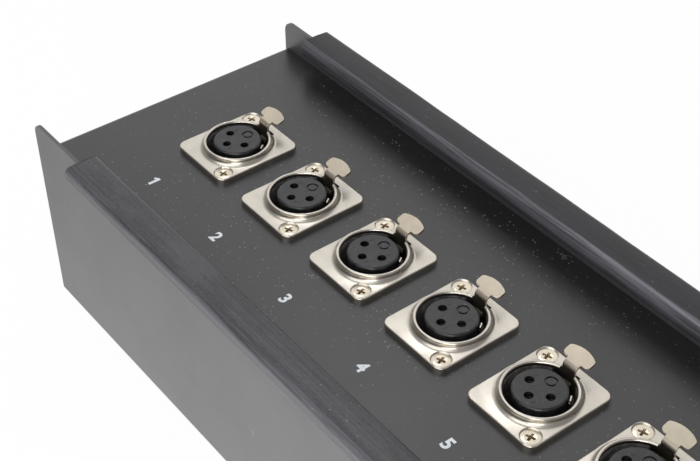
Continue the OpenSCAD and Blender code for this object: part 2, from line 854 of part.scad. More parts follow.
tray();
chassis();
front_strip();
rear_strip();
feet();
foot_screws();
foot_nuts();
case_screws();
case_nuts();
socket_screws();
socket_nuts();
socket_liners();
insert_bases();
latch_pins();
ground_tongues();
gland_body();
gland_washer();
gland_locknut();
gland_seal();
gland_cap();
for (n = [1:socket_count]) {
    socket_shell(n);
    socket_insert(n);
    socket_contacts(n);
    latch(n);
    latch_spring(n);
}
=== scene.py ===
"""Dresses the stage box: soft-edged metal, wavy rubber strips, numerals, screws and light."""

import logging
import math
from dataclasses import dataclass
from enum import Enum
from typing import Callable

import bmesh
import bpy
from mathutils import Matrix, Vector


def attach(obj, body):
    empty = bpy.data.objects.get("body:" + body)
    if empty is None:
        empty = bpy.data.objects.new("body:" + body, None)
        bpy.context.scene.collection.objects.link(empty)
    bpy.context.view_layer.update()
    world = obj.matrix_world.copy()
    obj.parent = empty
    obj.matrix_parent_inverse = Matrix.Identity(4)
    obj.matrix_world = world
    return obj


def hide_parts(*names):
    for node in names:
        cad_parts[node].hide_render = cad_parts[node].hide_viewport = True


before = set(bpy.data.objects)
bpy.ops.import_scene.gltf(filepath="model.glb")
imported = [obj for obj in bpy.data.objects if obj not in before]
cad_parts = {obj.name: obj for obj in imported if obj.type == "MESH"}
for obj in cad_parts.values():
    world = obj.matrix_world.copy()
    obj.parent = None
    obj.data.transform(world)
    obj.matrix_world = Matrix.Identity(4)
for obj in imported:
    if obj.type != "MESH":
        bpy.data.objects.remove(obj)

MM = 0.001
PITCH = 35.7 * MM
SOCKETS = 8
BOX_X = -13.0 * MM
ROW_Y = 0.7 * MM
PANEL_Z = 67.5 * MM
FACE_Z = 69.5 * MM
INSERT_RISE = 2.3 * MM
SCREW_SINK = 0.3 * MM
STRIP_TOP = 80.4 * MM
TOLERANCE = 1e-6
FIGURE_THICK = 0.02

log = logging.getLogger("stage_box")

Colour = tuple[float, float, float]
Point = tuple[float, float, float]
Piece = bpy.types.Object
Node = bpy.types.Node
Socket = bpy.types.NodeSocket
Value = Socket | tuple[float, ...] | float | None
Inputs = dict[str | int, Value]


class Side(Enum):
    """The long sides of the box, each with the middle of its lip across the box, in metres."""

    FRONT = -50.0 * MM
    REAR = 50.0 * MM


def clear_selection() -> None:
    """Leave edit mode and deselect every object, because operators act on all that is selected."""
    if bpy.context.object and bpy.context.object.mode != "OBJECT":
        bpy.ops.object.mode_set(mode="OBJECT")
    bpy.ops.object.select_all(action="DESELECT")


def make_active(piece: Piece) -> None:
    """Select one object alone and make it active.

    Args:
        piece: The object that the next operators act on.
    """
    clear_selection()
    piece.select_set(True)
    bpy.context.view_layer.objects.active = piece


def socket_x(number: int) -> float:
    """Give the X of a socket's centre; the sockets are counted from 1 at the -X end."""
    return BOX_X + (number - (SOCKETS + 1) / 2) * PITCH


def apply_placement(piece: Piece) -> None:
    """Put an object's place, turn and scale into its mesh."""
    make_active(piece)
    bpy.ops.object.transform_apply(location=True, rotation=True, scale=True)


def apply_modifier(piece: Piece, kind: str, **settings: object) -> None:
    """Add a modifier, set it and apply it at once.

    Args:
        piece: The object to change.
        kind: Blender's type name of the modifier.
        **settings: Its properties.
    """
    make_active(piece)
    modifier = piece.modifiers.new(kind.lower(), kind)
    for key, value in settings.items():
        setattr(modifier, key, value)
    bpy.ops.object.modifier_apply(modifier=modifier.name)


def combine(piece: Piece, operation: str, other: Piece) -> None:
    """Cut or unite a piece with another, which is used up, by the named boolean operation."""
    apply_modifier(piece, "BOOLEAN", operation=operation, object=other, solver="EXACT")
    bpy.data.objects.remove(other)


def smooth_by_angle(piece: Piece, degrees: float) -> None:
    """Shade faces smooth where they meet at less than an angle."""
    make_active(piece)
    bpy.ops.object.shade_smooth_by_angle(angle=math.radians(degrees))


def weight_normals(piece: Piece) -> None:
    """Let large faces keep their normals beside small ones."""
    apply_modifier(piece, "WEIGHTED_NORMAL", mode="FACE_AREA", weight=70, keep_sharp=True)


def join(pieces: list[Piece], name: str) -> Piece:
    """Join objects into one.

    Args:
        pieces: The objects; the first one keeps its place.
        name: The name of the result.

    Returns:
        The joined object.
    """
    clear_selection()
    for piece in pieces:
        piece.select_set(True)
    bpy.context.view_layer.objects.active = pieces[0]
    if len(pieces) > 1:
        bpy.ops.object.join()
    pieces[0].name = name
    return pieces[0]


def copy_to(piece: Piece, places: list[Vector], name: str) -> Piece:
    """Copy a finished piece to several places and join the copies.

    Args:
        piece: The model, made at the origin; it becomes the first copy.
        places: Where each copy goes.
        name: The name of the result.

    Returns:
        One object that holds all the copies.
    """
    copies = []
    for place in places[1:]:
        twin = piece.copy()
        twin.data = piece.data.copy()
        bpy.context.collection.objects.link(twin)
        twin.data.transform(Matrix.Translation(place))
        copies.append(twin)
    piece.data.transform(Matrix.Translation(places[0]))
    return join([piece, *copies], name)


def times(colour: Colour, factor: float) -> Colour:
    """Make a colour darker or paler."""
    return tuple(part * factor for part in colour)


class Tree:
    """A node tree under construction, with short calls for the nodes that the finishes need."""

    def __init__(self, tree: bpy.types.NodeTree) -> None:
        """Keep the tree to add to."""
        self.tree = tree

    def add(self, kind: str, inputs: Inputs | None = None, **settings: object) -> Node:
        """Add a node.

        Args:
            kind: Blender's type name of the node.
            inputs: What its inputs get, by their names or indices.
            **settings: Its properties.

        Returns:
            The node.
        """
        node = self.tree.nodes.new(kind)
        for key, value in settings.items():
            setattr(node, key, value)
        for socket, value in (inputs or {}).items():
            self.feed(node, socket, value)
        return node

    def feed(self, node: Node, socket: str | int, value: Value) -> None:
        """Link an output to a node's input, or set the input to a plain value.

        Args:
            node: The node.
            socket: The name or the index of its input.
            value: An output, a plain value, or None to leave the input as it is.
        """
        target = node.inputs[socket]
        if isinstance(value, Socket):
            self.tree.links.new(value, target)
        elif value is not None:
            target.default_value = value

    def math(self, operation: str, a: Value, b: Value = None, c: Value = None) -> Socket:
        """Compute a value from sockets or numbers with a Math node."""
        return self.add("ShaderNodeMath", {0: a, 1: b, 2: c}, operation=operation).outputs[0]

    def product(self, first: Value, *others: Value) -> Socket:
        """Multiply values from left to right.

        Args:
            first: The first factor.
            *others: The other factors.

        Returns:
            The product.
        """
        for other in others:
            first = self.math("MULTIPLY", first, other)
        return first

    def mix(self, factor: Value, a: Value, b: Value) -> Socket:
        """Mix two colours; the factor is the share of the second one."""
        a, b = ((*colour, 1.0) if isinstance(colour, tuple) else colour for colour in (a, b))
        return self.add("ShaderNodeMix", {0: factor, 6: a, 7: b}, data_type="RGBA").outputs[2]

    def span(self, value: Socket, low: float, high: float, to: tuple[float, float]) -> Socket:
        """Map a value from the range low to high to another range, clamped."""
        inputs = dict(enumerate((value, low, high, *to)))
        return self.add("ShaderNodeMapRange", inputs, clamp=True).outputs[0]

    def place(self, scale: Point = (1, 1, 1), at: Point = (0, 0, 0)) -> Socket:
        """Give Object coordinates for a pattern.

        Args:
            scale: What X, Y and Z are multiplied by.
            at: What is then added to them.

        Returns:
            The coordinates.
        """
        spot = self.add("ShaderNodeTexCoord").outputs["Object"]
        inputs = {"Vector": spot, "Scale": scale, "Location": at}
        return self.add("ShaderNodeMapping", inputs).outputs[0]

    def axes(self, at: Point = (0, 0, 0)) -> tuple[Socket, Socket, Socket]:
        """Give Object coordinates as X, Y and Z, each with its part of a shift added."""
        return tuple(self.add("ShaderNodeSeparateXYZ", {0: self.place(at=at)}).outputs)

    def noise(self, vector: Socket, scale: Value, detail: float = 3.0, rough: float = 0.55) -> Socket:
        """Give a noise of about 0 to 1; detail counts its octaves and rough weighs the finer ones."""
        inputs = {"Vector": vector, "Scale": scale, "Detail": detail, "Roughness": rough}
        return self.add("ShaderNodeTexNoise", inputs).outputs["Fac"]

    def cells(self, scale: float, at: Point) -> tuple[Socket, list[Socket]]:
        """Part space into cells round scattered points.

        Args:
            scale: How many cells there are to a metre.
            at: Moves the pattern.

        Returns:
            The distance from the nearest point, in cells, and three random numbers of its cell.
        """
        inputs = {"Vector": self.place(at=at), "Scale": scale}
        node = self.add("ShaderNodeTexVoronoi", inputs, feature="F1")
        parts = self.add("ShaderNodeSeparateColor", {0: node.outputs["Color"]})
        return node.outputs["Distance"], list(parts.outputs)


def empty_tree(owner: bpy.types.Material | bpy.types.World) -> Tree:
    """Clear a material's or a world's nodes.

    Args:
        owner: The material or the world.

    Returns:
        Its tree, empty.
    """
    owner.use_nodes = True
    owner.node_tree.nodes.clear()
    return Tree(owner.node_tree)


def group(
    name: str, inputs: dict[str, float], build: Callable[[Tree, dict], dict]
) -> bpy.types.NodeTree:
    """Build a shader node group once.

    Args:
        name: The group's name.
        inputs: Its float inputs with their defaults.
        build: Fills the group: takes the tree and the inputs' sockets, and gives the outputs'.

    Returns:
        The group's tree.
    """
    if name in bpy.data.node_groups:
        return bpy.data.node_groups[name]
    tree = bpy.data.node_groups.new(name, "ShaderNodeTree")
    for key, default in inputs.items():
        socket = tree.interface.new_socket(key, in_out="INPUT", socket_type="NodeSocketFloat")
        socket.default_value = default
    start = tree.nodes.new("NodeGroupInput")
    made = build(Tree(tree), {key: start.outputs[key] for key in inputs})
    end = tree.nodes.new("NodeGroupOutput")
    for key, socket in made.items():
        tree.interface.new_socket(key, in_out="OUTPUT", socket_type="NodeSocketFloat")
        tree.links.new(socket, end.inputs[key])
    return tree


@dataclass(frozen=True)
class Dust:
    """One kind of dust, with at most one grain to a cell.

    Args:
        cells: How many cells there are to a metre.
        radius: The radius of the largest grain, in cells.
        share: The share of the cells that hold a grain where the amount is 1.
        at: Moves the cells.
    """

    cells: float
    radius: float
    share: float
    at: Point


SPECKS = (
    Dust(900.0, 0.22, 1.0, (0.0, 0.0, 0.0)),
    Dust(420.0, 0.15, 0.6, (3.7, 3.7, 3.7)),
    Dust(170.0, 0.07, 0.3, (9.1, 9.1, 9.1)),
)
LINT = Dust(75.0, 0.16, 0.5, (5.3, 1.1, 2.9))


def dust_group() -> bpy.types.NodeTree:
    """Make fine pale specks and curled lint, as a mask that other materials mix in.

    Returns:
        The group, with the input Amount and the output Mask.
    """

    def build(tree: Tree, socket: dict[str, Socket]) -> dict[str, Socket]:
        """Lay round specks of each size and short bits of fibre, thinned out in patches.

        Args:
            tree: The group's tree.
            socket: Its inputs.

        Returns:
            Its outputs.
        """
        thin, faintest, lint_pale, bare = 0.012, 0.25, 0.2, 0.2
        spots = None
        for dust in SPECKS:
            away, random = tree.cells(dust.cells, dust.at)
            near = tree.math("LESS_THAN", away, tree.product(random[0], dust.radius))
            rare = tree.math("LESS_THAN", random[1], tree.product(socket["Amount"], dust.share))
            power = tree.math("POWER", random[2], 1.8)
            faint = tree.math("MULTIPLY_ADD", power, 1 - faintest, faintest)
            spot = tree.product(near, rare, faint)
            spots = spot if spots is None else tree.math("MAXIMUM", spots, spot)
        curl = tree.math("SUBTRACT", tree.noise(tree.place(), 260.0, 1.0), 0.5)
        line = tree.math("LESS_THAN", tree.math("ABSOLUTE", curl), thin)
        away, random = tree.cells(LINT.cells, LINT.at)
        near = tree.math("LESS_THAN", away, LINT.radius)
        rare = tree.math("LESS_THAN", random[0], tree.product(socket["Amount"], LINT.share))
        fibre = tree.product(line, near, rare, lint_pale)
        patches = tree.span(tree.noise(tree.place(), 22.0, 2.0), 0.40, 0.6, (bare, 1.0))
        return {"Mask": tree.math("MAXIMUM", tree.product(spots, patches), fibre)}

    return group("dust specks", {"Amount": 0.3}, build)


def grain_group() -> bpy.types.NodeTree:
    """Make a fine surface grain of two sizes.

    Returns:
        The group, with the inputs Fine and Coarse, the output Height for a bump, and the output
        Swell for the roughness.
    """

    def build(tree: Tree, socket: dict[str, Socket]) -> dict[str, Socket]:
        """Add a coarse swell to a fine grain.

        Args:
            tree: The group's tree.
            socket: Its inputs.

        Returns:
            Its outputs.
        """
        fine_share = 0.6
        fine = tree.noise(tree.place(), socket["Fine"], 2.0)
        swell = tree.noise(tree.place(), socket["Coarse"], 3.0)
        coarse = tree.product(swell, 1 - fine_share)
        height = tree.math("MULTIPLY_ADD", fine, fine_share, coarse)
        return {"Height": height, "Swell": swell}

    return group("grain", {"Fine": 2500.0, "Coarse": 120.0}, build)


@dataclass(frozen=True)
class Finish:
    """What every finish has; grit and swell are the frequencies of its fine and coarse grain."""

    name: str
    colour: Colour
    roughness: float
    metallic: float = 0.0
    specular: float = 0.5
    grit: float = 2500.0
    swell: float = 150.0
    bump: float = 0.15

    def material(self) -> bpy.types.Material:
        """Build the material once; its name differs from every slot of the frame.

        Returns:
            The material.
        """
        name = f"{self.name}_finish"
        if name in bpy.data.materials:
            return bpy.data.materials[name]
        material = bpy.data.materials.new(name)
        tree = empty_tree(material)
        shader = tree.add("ShaderNodeBsdfPrincipled", {
            "Base Color": (*self.colour, 1.0), "Roughness": self.roughness,
            "Metallic": self.metallic, "Specular IOR Level": self.specular,
        })
        self.detail(tree, shader)
        tree.add("ShaderNodeOutputMaterial", {"Surface": shader.outputs[0]})
        return material

    def detail(self, tree: Tree, shader: Node) -> None:
        """Add the patterns of this finish; the plain one has its grain alone."""
        self.add_grain(tree, shader)

    def add_grain(
        self, tree: Tree, shader: Node, height: Socket | None = None, under: Socket | None = None
    ) -> Socket:
        """Bump the surface with the shared grain.

        Args:
            tree: The material's tree.
            shader: The shader whose normal is fed.
            height: A further height that is added.
            under: The normal to start from, in place of the surface's own.

        Returns:
            The coarse grain, for use in colour or roughness.
        """
        sizes = {"Fine": self.grit, "Coarse": self.swell}
        grain = tree.add("ShaderNodeGroup", sizes, node_tree=grain_group())
        total = grain.outputs["Height"]
        if height is not None:
            total = tree.math("ADD", total, height)
        bump = tree.add("ShaderNodeBump", {
            "Strength": self.bump, "Distance": 0.2 * MM, "Height": total, "Normal": under,
        })
        tree.feed(shader, "Normal", bump.outputs[0])
        return grain.outputs["Swell"]

    def add_dust(self, tree: Tree, shader: Node, skin: Socket, amount: float, pale: float) -> Socket:
        """Scatter dust over the skin's colour.

        Args:
            tree: The material's tree.
            shader: The shader whose colour is fed.
            skin: The skin's colour.
            amount: How much dust there is, from 0 to 1.
            pale: How pale its grey is.

        Returns:
            The dust's mask.
        """
        specks = tree.add("ShaderNodeGroup", {"Amount": amount}, node_tree=dust_group())
        mask = specks.outputs["Mask"]
        tree.feed(shader, "Base Color", tree.mix(mask, skin, (pale,) * 3))
        return mask

    def dress(self, piece: Piece) -> None:
        """Give this finish to a piece, in place of what it carried."""
        piece.data.materials.clear()
        piece.data.materials.append(self.material())


@dataclass(frozen=True)
class PowderCoat(Finish):
    """Satin powder coat on sheet steel, with orange peel, handling marks and white dust."""

    grit: float = 1700.0
    swell: float = 260.0
    bump: float = 0.14
    dust: float = 0.3
    uneven: float = 0.12

    def detail(self, tree: Tree, shader: Node) -> None:
        """Vary colour and roughness in soft patches, and scatter dust over the coat.

        Args:
            tree: The material's tree.
            shader: Its shader.
        """
        swell = self.add_grain(tree, shader)
        cloud = tree.noise(tree.place(), 14.0, 4.0)
        rub = tree.noise(tree.place(), 45.0, 5.0, 0.6)
        tone = tree.span(cloud, 0.3, 0.7, (0.0, 1.0))
        darker, paler = times(self.colour, 1 - self.uneven), times(self.colour, 1 + self.uneven)
        dust = self.add_dust(tree, shader, tree.mix(tone, darker, paler), self.dust, 0.46)
        worn = tree.span(rub, 0.35, 0.75, (self.roughness - 0.02, self.roughness + 0.03))
        rough = tree.math("MULTIPLY_ADD", swell, 0.03, worn)
        tree.feed(shader, "Roughness", tree.math("MAXIMUM", rough, dust))


@dataclass(frozen=True)
class StripRubber(Finish):
    """Extruded rubber with lengthwise streaks, a wandering crease and a dull bloom.

    Args:
        side: The lip that carries the strip.
        crease: Where the crease runs, as its Y + Z above the strip's own Y.
        folded: How deep the crease is and how dark its painted shade is, from 0 to 1.
        dome: How far the strip's long edges lie below its middle.
        half: Half of the strip's width.
        band: The colour of a painted sheen, a paler stripe below the crease in place of a reflection.
        band_low: How far down the painted sheen has faded out.
        band_start: The painted sheen's strength at the -X end, as a share of that at the other end.
        rim: The colour of a painted highlight along the strip's +Y edge, laid in patches.
    """

    grit: float = 2600.0
    swell: float = 300.0
    bump: float = 0.28
    side: Side = Side.FRONT
    crease: float = 0.0
    folded: float = 1.0
    dome: float = 0.8 * MM
    half: float = 6.2 * MM
    # Painted sheen: a paler stripe below the crease that stands in for a reflection.
    band: Colour = (0.04, 0.04, 0.045)
    band_low: float = 5.5 * MM
    band_start: float = 0.35
    # Painted highlight along the +Y edge of the strip's top.
    rim: Colour = (0.17, 0.17, 0.18)

    def detail(self, tree: Tree, shader: Node) -> None:
        """Draw faint streaks along X, a fine mottle, blotches of bloom, and the fold's crease.

        Args:
            tree: The material's tree.
            shader: Its shader.
        """
        streak = tree.noise(tree.place(scale=(0.025, 1.0, 1.0)), 1100.0, 3.0, 0.6)
        wander = tree.noise(tree.place(scale=(0.16, 1.0, 1.0)), 240.0, 3.0)
        bloom = tree.noise(tree.place(scale=(0.45, 1.0, 1.0)), 130.0, 5.0, 0.7)
        mottle = tree.noise(tree.place(scale=(0.7, 1.0, 1.0)), 1500.0, 2.0, 0.6)
        fold, band = self.draw_crease(tree)
        bent = {"Distance": self.dome, "Height": self.draw_dome(tree)}
        dome = tree.add("ShaderNodeBump", bent)
        ridges = tree.math("MULTIPLY_ADD", streak, 0.5, tree.product(wander, 2.2))
        ridges = tree.math("MULTIPLY_ADD", fold, -2.2, ridges)
        self.add_grain(tree, shader, ridges, dome.outputs[0])
        cloudy = tree.math("MULTIPLY_ADD", streak, 0.32, tree.product(bloom, 0.44))
        cloudy = tree.math("MULTIPLY_ADD", mottle, 0.24, cloudy)
        tone = tree.span(cloudy, 0.43, 0.57, (0.0, 1.0))
        fine = tree.span(streak, 0.40, 0.60, (0.0, 1.0))
        lighter_skin = tree.mix(fine, times(self.band, 0.6), times(self.band, 1.4))
        skin = tree.mix(tone, self.colour, times(self.colour, 2.3))
        # Painted sheen: the paler streaked stripe below the crease.
        skin = tree.mix(tree.product(band, 0.85), skin, lighter_skin)
        # Painted highlight in patches along the +Y edge.
        skin = tree.mix(self.draw_rim(tree), skin, self.rim)
        # Painted shade: the crease is darkened in colour.
        skin = tree.mix(fold, skin, times(self.colour, 0.35))
        self.add_dust(tree, shader, skin, 0.12, 0.4)
        gloss = tree.span(bloom, 0.3, 0.7, (self.roughness - 0.06, self.roughness + 0.08))
        tree.feed(shader, "Roughness", tree.math("MULTIPLY_ADD", fold, 0.3, gloss))

    def draw_rim(self, tree: Tree) -> Socket:
        """Find the +Y edge of the strip's top, where a painted highlight lies in patches.

        Args:
            tree: The material's tree.

        Returns:
            A mask that is strongest at the edge.
        """
        _, across, up = tree.axes(at=(0, -self.side.value, 0))
        edge = tree.span(across, 4.8 * MM, 5.7 * MM, (0.0, 0.9))
        above = tree.span(up, STRIP_TOP - 1.4 * MM, STRIP_TOP - 0.6 * MM, (0.0, 1.0))
        patchy = tree.noise(tree.place(scale=(1.0, 0.0, 0.0)), 130.0, 3.0)
        return tree.product(edge, above, tree.span(patchy, 0.3, 0.6, (0.35, 1.0)))

    def draw_dome(self, tree: Tree) -> Socket:
        """Give 0 in the strip's middle and -1 at its long edges, as on a hose that is pressed flat."""
        across = tree.math("DIVIDE", tree.axes(at=(0, -self.side.value, 0))[1], self.half)
        return tree.product(across, across, -1.0)

    def draw_crease(self, tree: Tree) -> tuple[Socket, Socket]:
        """Follow the upper edge on the -Y side along X, wandering a little.

        Args:
            tree: The material's tree.

        Returns:
            A mask that is 1 in the crease and 0 beside it, and one for the painted sheen below the
            crease.
        """
        along, across, up = tree.axes()
        slow = tree.noise(tree.place(scale=(1.0, 0.0, 0.0)), 45.0, 3.0, 0.6)
        wander = (1.0 + 2.4 * self.folded) * MM
        middle = self.side.value + self.crease - wander / 2
        line = tree.math("MULTIPLY_ADD", slow, wander, middle)
        past = tree.math("SUBTRACT", tree.math("ADD", across, up), line)
        near = tree.span(tree.math("ABSOLUTE", past), 0.05 * MM, 0.6 * MM, (1.0, 0.0))
        patchy = tree.noise(tree.place(scale=(1.0, 0.0, 0.0)), 24.0, 2.0)
        fades = tree.span(patchy, 0.36, 0.52, (0.25 * self.folded, self.folded))
        starts = tree.span(past, -0.5 * MM, 0.1 * MM, (1.0, 0.0))
        ends = tree.span(past, -self.band_low, -0.25 * self.band_low, (0.0, 1.0))
        grows = tree.span(along, -170.0 * MM, 80.0 * MM, (self.band_start, 1.0))
        return tree.product(near, fades), tree.product(starts, ends, grows)


@dataclass(frozen=True)
class Plating(Finish):
    """Plated metal: a fine cast or blasted skin under a thin layer, with faint stains."""

    grit: float = 2600.0
    swell: float = 400.0
    bump: float = 0.05
    stain: float = 0.12
    patchy: float = 0.02

    def detail(self, tree: Tree, shader: Node) -> None:
        """Vary tint and gloss in small patches.

        Args:
            tree: The material's tree.
            shader: Its shader.
        """
        swell = self.add_grain(tree, shader, under=self.relief(tree))
        patch = tree.noise(tree.place(), 170.0, 4.0, 0.6)
        tone = tree.span(patch, 0.35, 0.65, (0.0, 1.0))
        unshaded = tree.mix(tone, times(self.colour, 1 - self.stain), self.colour)
        tree.feed(shader, "Base Color", self.soil(tree, unshaded))
        ends = (self.roughness + self.patchy, self.roughness - self.patchy)
        base = tree.span(patch, 0.3, 0.7, ends)
        tree.feed(shader, "Roughness", tree.math("MULTIPLY_ADD", swell, self.patchy, base))

    def relief(self, tree: Tree) -> Socket | None:
        """Give a normal for the grain to start from; plain plating keeps the surface's own."""
        return None

    def soil(self, tree: Tree, unshaded: Socket) -> Socket:
        """Add painted shade to a colour; plain plating has none."""
        return unshaded


@dataclass(frozen=True)
class ScrewPlating(Plating):
    """Plating darkened with painted shade below the head's top, from clean_down on and most of all at
    deep.
    """

    # The colour of the painted shade in the recess.
    dirt: Colour = (0.44, 0.365, 0.27)
    clean_down: float = 0.06 * MM
    deep: float = 0.5 * MM

    def soil(self, tree: Tree, unshaded: Socket) -> Socket:
        """Darken the colour with depth below the head's top, as painted shade in the recess.

        Args:
            tree: The material's tree.
            unshaded: The colour without the painted shade.

        Returns:
            The colour with the painted shade.
        """
        up = tree.axes()[2]
        top = FACE_Z - SCREW_SINK
        # Painted shade: darker the deeper below the head's top.
        sunk = tree.span(up, top - self.deep, top - self.clean_down, (1.0, 0.0))
        return tree.mix(sunk, unshaded, self.dirt)


@dataclass(frozen=True)
class DieCast(Plating):
    """Plated die casting whose face swells up to each socket's collar, from outer to inner."""

    inner: float = 10.8 * MM
    outer: float = 16.5 * MM
    rise: float = 0.45 * MM

    def relief(self, tree: Tree) -> Socket:
        """Measure how far a point is from its socket's axis, and raise the face towards the collar.

        Args:
            tree: The material's tree.

        Returns:
            The normal that the grain starts from.
        """
        x, y, _ = tree.axes(at=(-socket_x(1), -ROW_Y, 0))
        along = tree.math("PINGPONG", x, PITCH / 2)
        away = tree.math("SQRT", tree.math("MULTIPLY_ADD", along, along, tree.product(y, y)))
        near = tree.span(away, self.inner, self.outer, (1.0, 0.0))
        inputs = {"Distance": self.rise, "Height": tree.product(near, near)}
        return tree.add("ShaderNodeBump", inputs).outputs[0]


@dataclass(frozen=True)
class MouldedPlastic(Finish):
    """Moulded plastic with a fine spark-eroded grain, scuffs and dust."""

    grit: float = 3200.0
    swell: float = 500.0
    bump: float = 0.25
    scuffs: float = 1.0
    dust: float = 0.1

    def detail(self, tree: Tree, shader: Node) -> None:
        """Lighten the skin in blotches, dull it there, and scatter a little dust.

        Args:
            tree: The material's tree.
            shader: Its shader.
        """
        swell = self.add_grain(tree, shader)
        blotch = tree.noise(tree.place(), 420.0, 5.0, 0.7)
        worn = tree.span(blotch, 0.46, 0.66, (0.0, 1.0))
        lighter_skin = times(self.colour, 1 + 1.6 * self.scuffs)
        paler = tuple(part + 0.004 * self.scuffs for part in lighter_skin)
        skin = tree.mix(worn, self.colour, paler)
        self.add_dust(tree, shader, skin, self.dust, 0.34)
        gloss = tree.math("MULTIPLY_ADD", worn, 0.16 * self.scuffs, self.roughness - 0.06)
        tree.feed(shader, "Roughness", tree.math("MULTIPLY_ADD", swell, 0.12, gloss))


@dataclass(frozen=True)
class NumeralInk(Finish):
    """Screen-printed white ink with thin spots."""

    grit: float = 4000.0
    swell: float = 900.0
    bump: float = 0.1
    thin: Colour = (0.80, 0.83, 0.86)

    def detail(self, tree: Tree, shader: Node) -> None:
        """Thin the ink in fine spots.

        Args:
            tree: The material's tree.
            shader: Its shader.
        """
        self.add_grain(tree, shader)
        full = tree.span(tree.noise(tree.place(), 2600.0, 3.0), 0.34, 0.48, (0.0, 1.0))
        tree.feed(shader, "Base Color", tree.mix(full, self.thin, self.colour))


class Finishes:
    """Every finish on the stage box."""

    # The tray's coat is the panel's coat made paler and glossier, so that the front wall shows the
    # light on it: a painted lit copy of one coat.
    tray_coat = PowderCoat("tray_coat", (0.045, 0.045, 0.047), 0.36, specular=1.0, dust=0.06)
    panel_coat = PowderCoat("panel_coat", (0.0205, 0.02, 0.021), 0.33, specular=0.75, dust=0.5)
    # The rear strip's rubber is a darker copy of the front strip's, for the shade on the rear strip:
    # painted shade.
    front_rubber = StripRubber(
        "front_strip_rubber", (0.028, 0.028, 0.0315), 0.36, side=Side.FRONT, crease=76.0 * MM,
        folded=0.15, band=(0.14, 0.14, 0.155), band_low=5.5 * MM, band_start=0.05,
    )
    rear_rubber = StripRubber(
        "rear_strip_rubber", (0.0095, 0.0095, 0.0112), 0.40, specular=0.40, side=Side.REAR,
        crease=76.2 * MM, folded=0.1, band=(0.17, 0.17, 0.19), band_low=7.5 * MM,
    )
    foot = MouldedPlastic("foot_rubber", (0.018, 0.018, 0.018), 0.62, scuffs=0.4)
    nickel = DieCast("satin_nickel", (0.66, 0.615, 0.545), 0.28, metallic=1.0)
    lever = Plating("lever_plate", (0.61, 0.54, 0.435), 0.30, metallic=1.0, bump=0.04)
    screw = ScrewPlating("screw_nickel", (0.78, 0.705, 0.575), 0.20, metallic=1.0, bump=0.03)
    zinc = Plating("zinc_plate", (0.58, 0.60, 0.63), 0.36, metallic=1.0, stain=0.25)
    steel = Plating("spring_steel", (0.50, 0.50, 0.50), 0.3, metallic=1.0)
    insert = MouldedPlastic("insert_plastic", (0.008, 0.008, 0.009), 0.29, specular=0.6, dust=0.32)
    liner = MouldedPlastic("liner_plastic", (0.105, 0.097, 0.093), 0.40, dust=0.2)
    gland = MouldedPlastic("gland_plastic", (0.014, 0.014, 0.015), 0.45, scuffs=0.5)
    contact = Plating("contact_plate", (0.42, 0.38, 0.28), 0.32, metallic=1.0)
    ink = NumeralInk("white_ink", (0.94, 0.975, 1.0), 0.5)


def stand_in(
    node: str, finish: Finish, body: str = "box", angle: float = 30.0, bevel: float = 0.0
) -> Piece:
    """Copy a CAD node, merge its loose triangles, shade it smooth, dress it and let it take over.

    Args:
        node: The CAD node's name.
        finish: What it is dressed in.
        body: The body that it moves with.
        angle: Faces that meet at less than this many degrees are shaded smooth.
        bevel: The width of a bevel on the sharp edges, in metres; 0 for none.

    Returns:
        The copy, which replaces the node.
    """
    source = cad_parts[node]
    piece = source.copy()
    piece.data = source.data.copy()
    piece.parent = None
    piece.matrix_world = Matrix.Identity(4)
    bpy.context.collection.objects.link(piece)
    piece.name = f"{node}_dressed"
    make_active(piece)
    if piece.data.has_custom_normals:
        bpy.ops.mesh.customdata_custom_splitnormals_clear()
    bpy.ops.object.mode_set(mode="EDIT")
    bpy.ops.mesh.select_all(action="SELECT")
    bpy.ops.mesh.remove_doubles(threshold=2 * TOLERANCE)
    bpy.ops.mesh.dissolve_limited(angle_limit=math.radians(0.6))
    bpy.ops.object.mode_set(mode="OBJECT")
    if bevel:
        apply_modifier(
            piece, "BEVEL", width=bevel, segments=2, limit_method="ANGLE",
            angle_limit=math.radians(50), use_clamp_overlap=True, miter_outer="MITER_ARC",
        )
    smooth_by_angle(piece, angle)
    weight_normals(piece)
    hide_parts(node)
    finish.dress(piece)
    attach(piece, body)
    return piece


@dataclass
class Case:
    """The folded tray and chassis, with their fasteners and feet."""

    edge: float = 0.25 * MM

    def build(self) -> list[Piece]:
        """Soften the sheets' edges and dress the case.

        Returns:
            Its pieces.
        """
        made = [
            stand_in(node, coat, angle=35.0, bevel=self.edge)
            for node, coat in (("tray", Finishes.tray_coat), ("chassis", Finishes.panel_coat))
        ]
        made.append(stand_in("feet", Finishes.foot, angle=40.0))
        for node in ("foot_screws", "foot_nuts", "case_screws", "case_nuts", "socket_nuts"):
            made.append(stand_in(node, Finishes.zinc))
        return made


@dataclass(frozen=True)
class Ripple:
    """One size of dents in a strip's skin.

    Args:
        size: Their width across the strip, in metres.
        stretch: How much longer they are along it.
        share: Their depth, as a share of the deepest.
    """

    size: float
    stretch: float
    share: float


